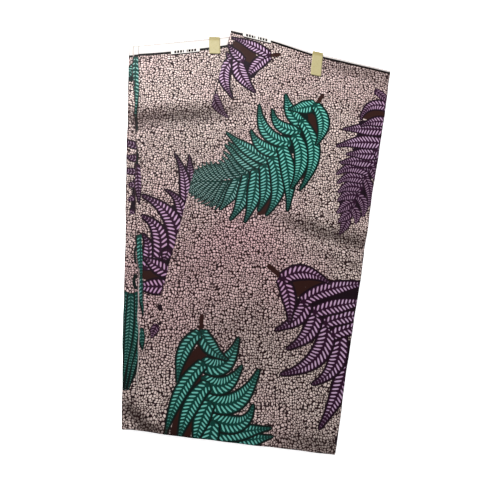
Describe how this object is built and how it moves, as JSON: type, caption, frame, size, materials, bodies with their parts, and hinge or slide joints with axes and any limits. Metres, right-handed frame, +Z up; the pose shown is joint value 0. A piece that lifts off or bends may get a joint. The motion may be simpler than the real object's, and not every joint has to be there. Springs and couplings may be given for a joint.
{
  "type": "folded wax print fabric",
  "caption": "Length of printed cotton folded flat and fanned about one corner into two overlapping packets, selvedges together at one end.",
  "frame": {"origin": "on the table, under the middle of the pile's bounding box", "axes": "+Z up from the table, +Y up the packets towards their selvedges, +X from the lower packet to the upper one"},
  "size_m": [0.4152, 0.6232, 0.0172],
  "materials": {
    "printed_cotton": "crisp waxed cotton, pebble ground with fern fronds",
    "hidden_folds": "same cotton, seen at its folded edges",
    "foil_sticker": "pale gold foil paper"
  },
  "bodies": {
    "root": {"lower_folds": "hidden_folds", "lower_outer_ply": "printed_cotton", "lower_middle_ply": "printed_cotton", "lower_top_ply": "printed_cotton", "lower_sticker": "foil_sticker", "upper_folds": "hidden_folds", "upper_top_ply": "printed_cotton", "upper_sticker": "foil_sticker"}
  },
  "joints": []
}
